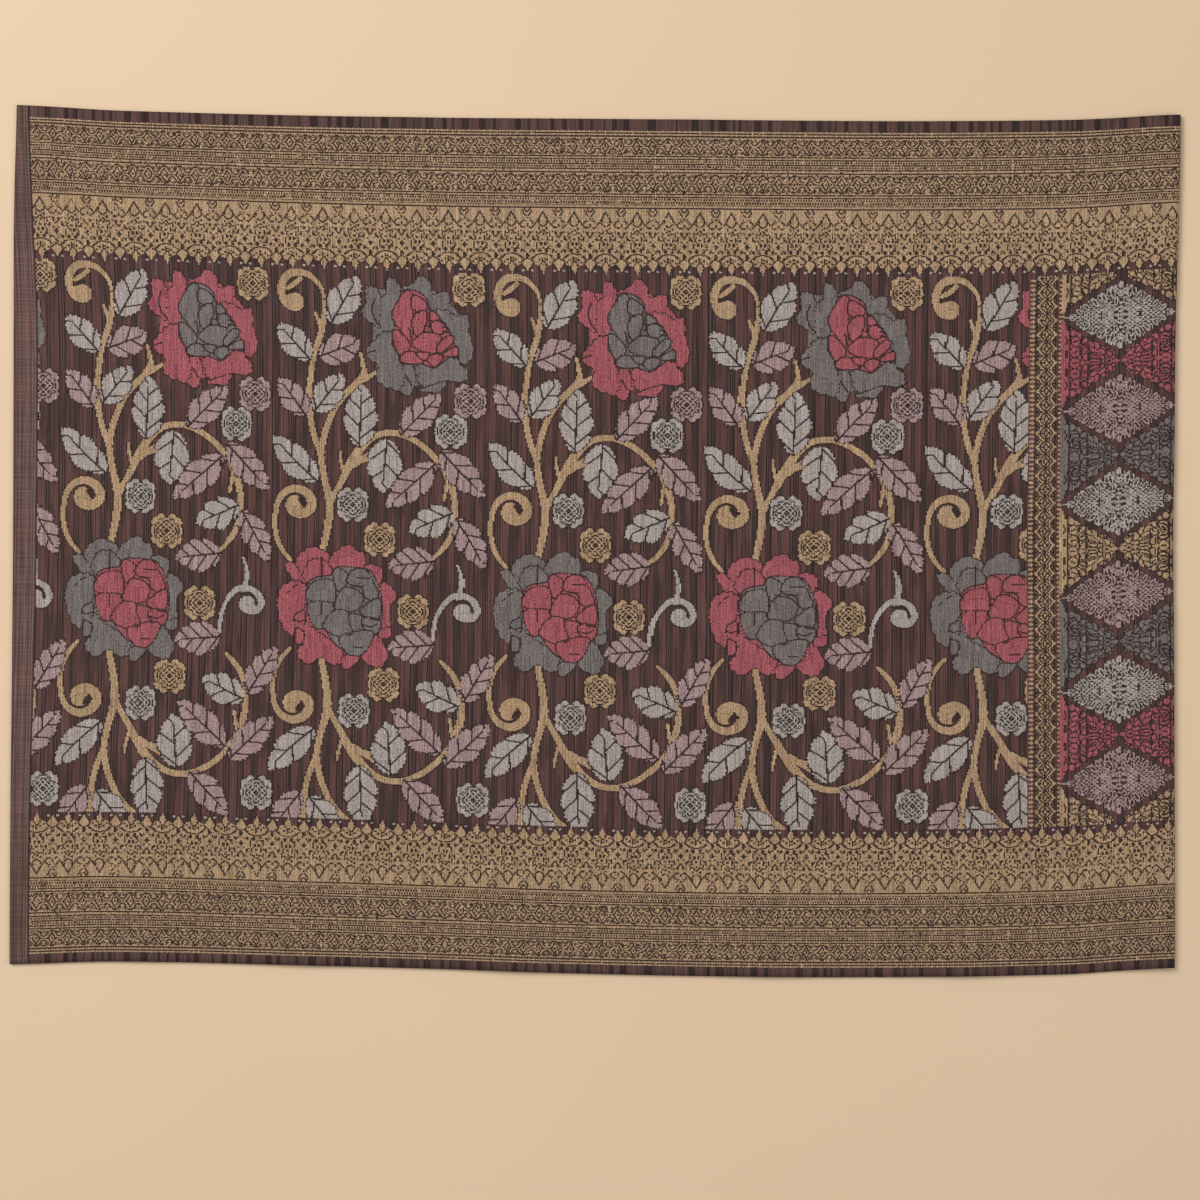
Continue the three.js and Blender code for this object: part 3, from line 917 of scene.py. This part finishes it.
def rosette(draft, yarn, x, y):
    rim = RIM + [(dx, -dy) for dx, dy in RIM[-2::-1]]
    rim = rim + [(-dx, dy) for dx, dy in rim[-2:0:-1]]
    draft.patch(yarn, rim, x, y)
    spot, dx, dy = draft.near(x, y, 14)
    out = np.abs(dx) + np.abs(dy)
    slant = np.abs(np.abs(dx) - np.abs(dy))
    gaps = ((out + 1.4) % 4.4 > 2.0) & (np.abs(slant % 7.0 - 3.5) > 0.9)
    edge = np.maximum(np.maximum(np.abs(dx), np.abs(dy) * 0.95), out * 0.7)
    ring = (edge > 11.4) & (edge < 12.4) & (slant % 7.0 > 1.6)
    draft.mark(spot, (gaps & (edge < 10.8)) | ring, SHADED_GROUND)


for yarn, x, y in (
    (GOLD, 189, 303), (PINK, 190, 198), (SILVER, 172, 169), (SILVER, 80, 97), (GOLD, 106, 65),
    (GOLD, 138, -2), (GOLD, 111, -72), (SILVER, 83.5, -98), (SILVER, 196.5, -179),
):
    rosette(vines, yarn, x, y)

# Petals of the two roses, from the back to the front, each a curve from the rose's middle.
TOP_ROSE = (140, 255)
TOP_OUTER = [
    [(-48, 46), (-42, 48), (-36, 44), (-33, 27), (-34, 11), (-45, 16), (-52, 23), (-47, 35)],
    [(-27, 55), (-20, 55), (-15, 45), (-17, 33), (-21, 17), (-19, 8), (-33, 8), (-33, 36), (-28, 42)],
    [(-12, 47), (-4, 51), (5, 59), (13, 53), (16, 42), (25, 45), (31, 42), (27, 29), (16, 28), (5, 37)],
    [(19, 26), (29, 27), (37, 22), (47, 23), (48, 8), (52, -8), (48, -19), (40, -21), (39, -8), (28, 9)],
    [(29, -18), (38, -19), (47, -33), (41, -39), (28, -38), (14, -42), (5, -43), (-1, -31), (0, -25),
     (8, -23), (16, -27)],
    [(3, -48), (12, -44), (28, -39), (21, -49), (14, -49)],
    [(-13, -25), (-5, -24), (-2, -37), (-6, -52), (-12, -52), (-16, -46)],
    [(-34, 3), (-25, 5), (-21, -9), (-15, -24), (-15, -46), (-30, -45), (-38, -38), (-37, -25), (-45, -20),
     (-47, -11), (-39, -2)],
]
TOP_HEART = [
    [(-16, 37), (-9, 45), (-4, 41), (-5, 27), (-4, 10), (-7, -1), (-15, 8), (-23, 22)],
    [(-3, 40), (5, 38), (10, 31), (5, 26), (-4, 29)],
    [(1, 25), (8, 26), (9, 17), (3, 3), (-2, 6), (-4, 17)],
    [(13, 25), (17, 25), (21, 20), (14, 18)],
    [(14, 12), (17, 17), (24, 16), (27, 9), (19, 5)],
    [(8, 12), (12, 11), (12, 8), (8, 8)],
    [(-4, -4), (2, 3), (8, 6), (21, 4), (22, -2), (17, -12), (3, -10)],
    [(22, -3), (29, 3), (34, 3), (34, -2), (29, -7), (22, -12), (19, -9)],
    [(25, -15), (30, -10), (38, -7), (38, -14)],
    [(-23, 5), (-18, 7), (-8, -3), (-9, -12), (-18, -13)],
    [(-16, -19), (-11, -13), (-2, -13), (5, -21), (-3, -23), (-13, -22)],
    [(0, -13), (10, -13), (11, -19), (4, -18)],
    [(12, -16), (19, -14), (24, -17), (17, -25), (11, -21)],
]
TOP_LINES = [
    [(-39, 37), (-42, 28), (-40, 18), (-35, 12)],
    [(-11, -34), (-5, -44)],
    [(-4, 24), (2, 25)],
    [(24, 16), (28, 15)],
    [(25, 12), (30, 11)],
    [(25, 8), (31, 7)],
    [(-7, 10), (-6, 2)],
    [(12, 24), (12, 13)],
    [(-46, -14), (-40, -12)],
]
MID_ROSE = (68.5, 3)
MID_MIDDLE = (70.5, 5)
MID_OUTER = [
    [(-42, 37), (-37, 46), (-27, 52), (-16, 49), (-10, 45), (-11, 39), (-22, 42), (-31, 36), (-36, 23),
     (-40, 28)],
    [(-34, 28), (-29, 38), (-21, 41), (-10, 37), (-8, 28), (-11, 21), (-28, 18), (-34, 21)],
    [(-52, 33), (-48, 37), (-42, 34), (-33, 18), (-38, 13), (-45, 22)],
    [(-58, 6), (-53, 15), (-42, 19), (-33, 15), (-34, -6), (-43, -12), (-43, -30), (-52, -26), (-58, -10)],
    [(-42, -13), (-36, -9), (-33, -9), (-33, -16), (-40, -18)],
    [(-41, -26), (-35, -28), (-34, -37), (-41, -39)],
    [(-32, -19), (-25, -25), (-12, -33), (-2, -38), (4, -48), (2, -56), (-8, -57), (-17, -51), (-28, -58),
     (-38, -52), (-38, -44), (-33, -38)],
    [(4, -50), (20, -49), (12, -59), (4, -61)],
    [(21, -48), (30, -34), (38, -28), (42, -38), (46, -46), (41, -57), (32, -58)],
    [(38, -21), (48, -21), (47, -30), (38, -30)],
    [(33, 8), (35, 16), (40, 21), (48, 18), (54, 9), (48, 0), (47, -10), (48, -19), (38, -19), (37, -3)],
    [(23, 35), (30, 38), (40, 33), (37, 18), (32, 14), (26, 26)],
    [(-8, 44), (2, 53), (11, 55), (16, 50), (23, 47), (22, 31), (15, 31), (5, 27), (-8, 34)],
]
MID_HEART = [
    [(-32, 10), (-25, 18), (-9, 19), (-6, 5), (-9, -1), (-32, 1)],
    [(-32, -4), (-10, -2), (-10, -14), (-17, -25), (-26, -24)],
    [(-8, 28), (-3, 31), (6, 24), (3, 16), (-3, 10), (-7, 18)],
    [(8, 27), (14, 31), (23, 30), (31, 16), (34, 6), (28, 2), (21, 7), (19, 14), (6, 18)],
    [(-6, -2), (1, 12), (12, 12), (20, 4), (14, -7), (-2, -9)],
    [(24, -2), (34, 4), (37, -3), (34, -15), (18, -10)],
    [(-8, -10), (5, -10), (11, -26), (1, -33), (-10, -30), (-17, -23)],
    [(7, -13), (20, -14), (20, -26), (12, -28)],
    [(22, -15), (35, -16), (36, -24), (30, -30), (20, -22)],
    [(-2, -35), (12, -29), (22, -27), (30, -30), (21, -48), (7, -49)],
]
MID_LINES = [
    [(-19, 41), (-19, 21)],
    [(-19, -2), (-19, -13)],
    [(14, 23), (26, 23)],
    [(9, 16), (20, 15)],
    [(11, -43), (20, -43)],
    [(20, -21), (27, -23), (34, -20)],
    [(27, -15), (35, -17)],
    [(6, -32), (12, -30)],
    [(-53, 5), (-50, 8)],
    [(-47, 11), (-43, 14)],
]
# Each set of petals lies on a plain patch of its own yarn.
MID_PATCH = [
    (-45, 20), (-28, 40), (0, 44), (30, 34), (44, 10), (42, -22), (30, -44), (0, -52), (-32, -44),
    (-44, -14),
]
MID_HEART_PATCH = [
    (-30, 18), (-33, 9), (-32, -6), (-25, -19), (-15, -25), (-10, -35), (1, -45), (14, -47), (25, -41),
    (29, -30), (36, -22), (38, -8), (36, 10), (28, 28), (16, 32), (-4, 32), (-8, 25), (-22, 22),
]
TOP_PATCH = [
    (-40, 38), (-22, 46), (6, 50), (30, 36), (44, 14), (44, -12), (36, -32), (10, -40), (-14, -46),
    (-38, -30),
]
TOP_HEART_PATCH = [
    (-13, 44), (-1, 45), (9, 38), (13, 26), (23, 18), (30, 9), (33, -1), (39, -14), (31, -15), (25, -20),
    (16, -26), (9, -24), (-1, -21), (-14, -23), (-17, -15), (-23, -3), (-20, 15), (-17, 29),
]
# Each petal has an outline of painted shade, and more lines of painted shade part the petals.
for middle, yarn, under, petals, outline, scallop in (
    (MID_ROSE, FIRST, MID_PATCH, MID_OUTER, 1.1, 0.12),
    (MID_MIDDLE, SECOND, MID_HEART_PATCH, MID_HEART, 1.3, 0.04),
    (TOP_ROSE, SECOND, TOP_PATCH, TOP_OUTER, 1.1, 0.12),
    (TOP_ROSE, FIRST, TOP_HEART_PATCH, TOP_HEART, 1.3, 0.04),
):
    vines.patch(yarn, under, *middle, outline)
    for points in petals:
        vines.patch(yarn, points, *middle, outline, scallop)
vines.threads(SHADED_GROUND, TOP_LINES, *TOP_ROSE)
vines.threads(SHADED_GROUND, MID_LINES, *MID_MIDDLE)

# The repeats were woven closer together near the first end and wider apart near the panel.
column = np.arange(FIELD_COLUMNS)
DRIFT_PLACES = np.array([0.0, 200, 400, 520, 600, 680, 762])
DRIFT = np.array([0.5, -2, -1, 0, 2.5, 5, 7])
drift = along(DRIFT_PLACES, DRIFT, column)
place_in_field = np.round(column - REPEAT_START - drift).astype(int)
field_chart = vines.marks[place_in_field % REPEAT_COLUMNS]
field_shade_lines = vines.dark[place_in_field % REPEAT_COLUMNS]
even_repeat = (place_in_field // REPEAT_COLUMNS % 2 == 0)[:, None]
field_chart = np.where(field_chart == FIRST, np.where(even_repeat, GREY, RED), field_chart)
field_chart = np.where(field_chart == SECOND, np.where(even_repeat, RED, GREY), field_chart)

pink_yarn = yarn_finish("pink yarn", PINK_DARK, PINK_BRIGHT, 0.0, 0.7)
red_yarn = yarn_finish("red yarn", RED_DARK, RED_BRIGHT, 0.0, 0.7)
grey_yarn = yarn_finish("grey yarn", GREY_DARK, GREY_BRIGHT, 0.0, 0.7)
YARNS = (
    (GOLD, "gold", gilt_yarn),
    (SILVER, "silver", silver_yarn),
    (PINK, "pink", pink_yarn),
    (RED, "red", red_yarn),
    (GREY, "grey", grey_yarn),
)


def weave_in(part, chart, dark, start, seed):
    """All the brocade of the field or of the head panel, one piece for each yarn."""
    for code, colour, yarn in YARNS:
        floats = runs(chart, code, start, FIELD_EDGE, ROW)
        brocade(f"{part}_{colour}", floats, yarn, seed + code)
    lines = runs(dark, True, start, FIELD_EDGE, ROW, 1)
    brocade(f"{part}_lines", lines, shaded_ground_threads, seed + 10, True)


weave_in("field", field_chart, field_shade_lines, PATTERN_START, 20)

# The head panel. A ladder band of gold, and then a tall panel of lacy diamonds in silver and pink
# with half diamonds of gold, red and grey between them. The fold passes by its far edge.
PANEL_COLUMNS = 112
LADDER = FIELD_COLUMNS * COLUMN + PATTERN_START
PANEL_MIDDLE = 1047.5
PANEL_HALF = 53.5
PANEL_TOP = 256
RAILS = (962.4, 989.6)
RUNG_SPACING = 4.3
LATTICE_MIDDLE = 977.7 - PANEL_MIDDLE
LATTICE_SPACING = 13.2
panel = Draft(PANEL_COLUMNS, FIELD_ROWS, LADDER - PANEL_MIDDLE, FIELD_EDGE, False)
rungs = [[(rail + 0.9, 0), (rail + 3.0, 0)] for rail in RAILS]
level = FIELD_EDGE + 2
while level < PANEL_TOP:
    panel.threads(GOLD, rungs, -PANEL_MIDDLE, level, half=1.15)
    level += RUNG_SPACING
LATTICE_LINES = [
    [(0, -6.6), (3.2, -3.8), (5.6, 0), (3.2, 3.8), (0, 6.6)],
    [(0, -3.6), (2.0, 0), (0, 3.6)],
    [(8.0, -2.8), (6.4, -5.0), (5.4, -6.6)],
    [(8.0, 2.8), (6.4, 5.0), (5.4, 6.6)],
]
LATTICE_SPOTS = [
    (0, 5.0, 0.8, 0.9), (3.4, 0, 0.8, 1.2), (6.9, 0, 1.1, 0.8), (8.2, 6.6, 1.3, 1.6), (3.4, 6.6, 0.7, 1.2),
]
for side in BOTH:
    strip = np.abs(panel.x - LATTICE_MIDDLE - side * 3.7) < 4.6
    panel.marks[np.ix_(strip, panel.y < PANEL_TOP)] = GOLD
# Over the gold lattice strips, lines and spots of ground in painted shade.
level = FIELD_EDGE + 1
while level < PANEL_TOP:
    panel.threads(SHADED_GROUND, LATTICE_LINES, LATTICE_MIDDLE, level, BOTH)
    panel.spots(SHADED_GROUND, LATTICE_SPOTS, LATTICE_MIDDLE, level, BOTH, BOTH)
    panel.spots(GOLD, [(8.2, 0, 1.6, 1.5)], LATTICE_MIDDLE, level, BOTH)
    level += LATTICE_SPACING

# A full diamond, drawn for one quarter: leaves by middle, half sizes and turn, and threads.
LACE_LEAVES = [
    (45.6, 1.8, 3.4, 1.5, 0), (39.4, 5.0, 2.1, 4.2, -52), (36.4, 7.8, 1.5, 3.0, -30),
    (32.2, 8.8, 2.3, 4.8, -44), (28.6, 12.6, 1.7, 3.4, -24), (24.4, 12.8, 2.6, 5.4, -40),
    (20.6, 17.0, 1.8, 3.6, -16), (16.2, 16.8, 2.7, 5.8, -30), (12.4, 21.4, 1.9, 4.2, -8),
    (8.0, 21.4, 2.8, 7.0, -14), (4.4, 13.2, 2.3, 4.6, 8),
]
LACE_THREADS = [
    [(5.2, 28), (4.6, 21.8), (0, 17.6)],
    [(0, 20.5), (2.2, 22.4)],
    [(0, 0), (9, 0)],
    [(0, 0), (0, 7)],
    [(9, 1.8), (6.4, 5), (0, 7.6)],
    [(10.4, 0.6), (14, 5.4), (18.4, 5.4), (23.4, 0.6)],
    [(11.4, 9.6), (15.6, 3.4)],
    [(47, 0), (53, 0)],
]
LACE_GAPS = [
    (4.6, 2.6, 2.4, 1.3, 0), (0, 14.6, 1.2, 1.5, 0), (9.4, 15.4, 1.0, 1.6, 0), (0, 24.6, 0.8, 1.5, 0),
    (2.0, 9.8, 1.1, 1.5, 0), (18.4, 1.7, 1.4, 1.1, 20),
]
# The diamond's half sizes, and the spacing and width of the net's threads.
LACE_REACH = 47
LACE_RISE = 27
MESH_SPACING = 4.9
MESH_THREAD = 2.2


def lace_diamond(draft, yarn, y):
    spot, dx, dy = draft.near(0, y, 60)
    draft.mark(spot, np.abs(dx) / LACE_REACH + np.abs(dy) / LACE_RISE < 1, yarn)
    # The net's holes, the gaps and the leaves' middles are ground in painted shade.
    slope = np.abs(dy) * 1.3
    holes = (np.abs(dx) + slope) % MESH_SPACING > MESH_THREAD
    holes = holes & ((np.abs(dx) - slope) % MESH_SPACING > MESH_THREAD)
    netted = np.abs(dx) / (LACE_REACH - 1) + np.abs(dy) / (LACE_RISE - 1) < 1
    draft.mark(spot, netted & holes, SHADED_GROUND)
    for way in BOTH:
        draft.oval(yarn, 0, y + way * 28.2, 2.6, 3.9, 0, 0.8)
    for dx, dy, wide, high, turn in LACE_LEAVES:
        for side in BOTH:
            for way in BOTH:
                place = (side * dx, y + way * dy)
                draft.oval(yarn, *place, wide, high, side * way * turn, 0.62)
                draft.oval(SHADED_GROUND, *place, wide * 0.33, high * 0.55, side * way * turn)
    for dx, dy, wide, high, turn in LACE_GAPS:
        for side in BOTH:
            for way in BOTH:
                draft.oval(SHADED_GROUND, side * dx, y + way * dy, wide, high, side * way * turn)
    draft.threads(yarn, LACE_THREADS, 0, y, BOTH, BOTH)


for count, level in enumerate((216.5, 128.4, 40.8, -46.8, -136.3, -222.0)):
    lace_diamond(panel, PINK if count % 2 else SILVER, level)

# A half diamond, drawn for its upper half from the panel's side inwards: its edge, its leaves by
# middle, half sizes and turn, and the lines of painted shade over it.
HALF_EDGE = [
    (-2, 37), (2, 35), (3.6, 30), (6.4, 33), (9.8, 31.4), (11, 27.6), (14.6, 28.6), (17, 25.6), (18.2, 22.4),
    (22.4, 23.6), (25, 20.8), (26, 17.6), (30, 19), (33.4, 16.4), (34.2, 13), (38.6, 14.2), (40, 9.4),
    (42.6, 8.6), (44.2, 11), (47.4, 9), (47.8, 4.6), (51, 3.4), (52.4, 0),
]
HALF_LEAVES = [
    (10.6, 0, 4.6, 4.6, 0), (10.8, 10.2, 4.4, 4.6, 15), (11.2, 20.0, 4.0, 4.4, 25), (9, 28.4, 3.0, 3.0, 30),
    (20.8, 5.0, 2.0, 3.2, 0), (19.6, 13.4, 3.4, 2.8, 30), (19.6, 20.6, 3.2, 2.2, 35), (28.8, 0, 6.0, 2.4, 0),
    (28.4, 6.2, 5.4, 2.1, -18), (27.6, 11.8, 4.8, 1.9, -32), (26.2, 16.8, 3.6, 1.8, -42),
    (36.6, 9.4, 3.6, 1.7, -42), (36.4, 4.0, 2.2, 1.7, 0), (43, 0, 3.4, 3.0, 0), (43.8, 6.6, 2.4, 2.4, 0),
    (49.6, 0, 2.8, 2.2, 0),
]
HALF_LINES = [
    [(5.6, 0), (5.6, 35)],
    [(2.6, 5), (2.6, 12)],
    [(1.4, 17), (3.0, 20), (2.0, 25)],
    [(6, 25), (9, 24.4), (12, 26)],
    [(16.4, 2.4), (16.8, 8.6), (15.6, 14.8)],
    [(15.6, 17.6), (17.4, 21), (16, 24.4)],
    [(23.6, 2.4), (23.4, 8.4), (22.2, 11)],
    [(8.6, 0), (12.6, 0)],
    [(8.8, 9.6), (12.8, 10.8)],
    [(9.2, 19.4), (13, 20.8)],
    [(18.2, 13), (21.4, 15)],
    [(25.4, 0), (32.4, 0)],
    [(24.8, 8.2), (31, 5.8)],
    [(35, 1.6), (36.4, 2.4)],
    [(42, 0.6), (44, 0.6)],
    [(22.4, 9.2), (24, 11.6), (23.4, 14)],
]
# Beside the fold, and in the grey ones, rounds of arcs in painted shade lie over the leaves.
ARCS_BY_FOLD = (2.6, 5.8, 9.0)
ARCS_IN_GREY = (3.4, 7.2)
ARC_TURNS = np.linspace(-1.9, 1.9, 12)


def inwards(points):
    return [(PANEL_HALF - dx, *rest) for dx, *rest in points]


def half_diamond(draft, yarn, y, side):
    edge = HALF_EDGE + [(dx, -dy) for dx, dy in HALF_EDGE[-2::-1]]
    draft.patch(yarn, [(side * dx, dy) for dx, dy in inwards(edge)], 0, y, 0.8)
    for dx, dy, wide, high, turn in inwards(HALF_LEAVES):
        for way in BOTH:
            draft.oval(yarn, side * dx, y + way * dy, wide, high, -side * way * turn, OUTLINE)
    courses = HALF_LINES[::2] if yarn == GREY else HALF_LINES
    draft.threads(SHADED_GROUND, [inwards(points) for points in courses], 0, y, (side,), BOTH)
    radii = ARCS_BY_FOLD if side > 0 else ARCS_IN_GREY if yarn == GREY else ()
    arcs = [
        [(PANEL_HALF - 12 + radius * math.cos(turn), 15 + radius * math.sin(turn)) for turn in ARC_TURNS]
        for radius in radii
    ]
    draft.threads(SHADED_GROUND, arcs, 0, y, (side,), BOTH)
    draft.threads(yarn, [[(1, 0), (7, 0)]], 0, y, (side,))
    beads = [[(12, dy), (12, dy + 0.4)] for dy in (8.5, 12.5)]
    draft.threads(yarn, beads, 0, y, (side,), BOTH, half=0.8)


for level, yarn in (
    (261.3, GOLD), (173.7, RED), (85.1, GREY), (-3.5, GOLD), (-91.1, GREY), (-178.7, RED), (-266.3, GOLD),
):
    for side in BOTH:
        half_diamond(panel, yarn, level, side)

weave_in("panel", panel.marks, panel.dark, LADDER, 40)

# What it lies on: a plain pale floor with a soft matt finish, under plain soft studio light.
FLOOR_PALE = from_screen(232, 205, 174)
FLOOR_SHADE = from_screen(226, 198, 166)
FLOOR_REACH = 6
FLOOR_DROP = 0.0004
floor_finish, shader, wire = new_finish("pale floor", 0.9, 0.1)
place = wire.node("ShaderNodeTexCoord", output="Object")
clouds = wire.node("ShaderNodeTexNoise", None, {"Vector": place, "Scale": 2.0, "Detail": 3.0})
blend(wire, clouds, FLOOR_PALE, FLOOR_SHADE).feed(shader, "Base Color")
floor_mesh = bpy.data.meshes.new("floor")
corners = [(FLOOR_REACH * x, FLOOR_REACH * y, -FLOOR_DROP) for x, y in ((-1, -1), (1, -1), (1, 1), (-1, 1))]
floor_mesh.from_pydata(corners, [], [(0, 1, 2, 3)])
floor_mesh.materials.append(floor_finish)
floor = bpy.data.objects.new("floor", floor_mesh)
bpy.context.collection.objects.link(floor)


def soft_light(name, place, size, power):
    """A round lamp that faces the middle of the cloth."""
    lamp = bpy.data.lights.new(name, "AREA")
    lamp.shape = "DISK"
    lamp.size = size
    lamp.energy = power
    holder = bpy.data.objects.new(name, lamp)
    holder.location = place
    holder.rotation_euler = mathutils.Vector(place).to_track_quat("Z", "Y").to_euler()
    bpy.context.collection.objects.link(holder)


soft_light("main light", (-2.1, 1.5, 2.9), 2.2, 102)
soft_light("fill light", (2.4, -0.6, 2.9), 2.6, 30)
world = bpy.data.worlds.new("studio")
world.use_nodes = True
world.node_tree.nodes["Background"].inputs["Color"].default_value = (1.0, 0.98, 0.95, 1)
world.node_tree.nodes["Background"].inputs["Strength"].default_value = 0.34
bpy.context.scene.world = world
bpy.context.scene.view_settings.view_transform = "Standard"

# The camera looks straight down on the cloth.
CAMERA_SIDE = (0.0057, -0.0547)
CAMERA_HEIGHT = 2.682
camera_data = bpy.data.cameras.new("camera")
camera_data.lens = 85
camera_data.sensor_width = 36
camera = bpy.data.objects.new("camera", camera_data)
camera.location = (*(to_middle[:2] + CAMERA_SIDE), CAMERA_HEIGHT)
bpy.context.collection.objects.link(camera)
bpy.context.scene.camera = camera
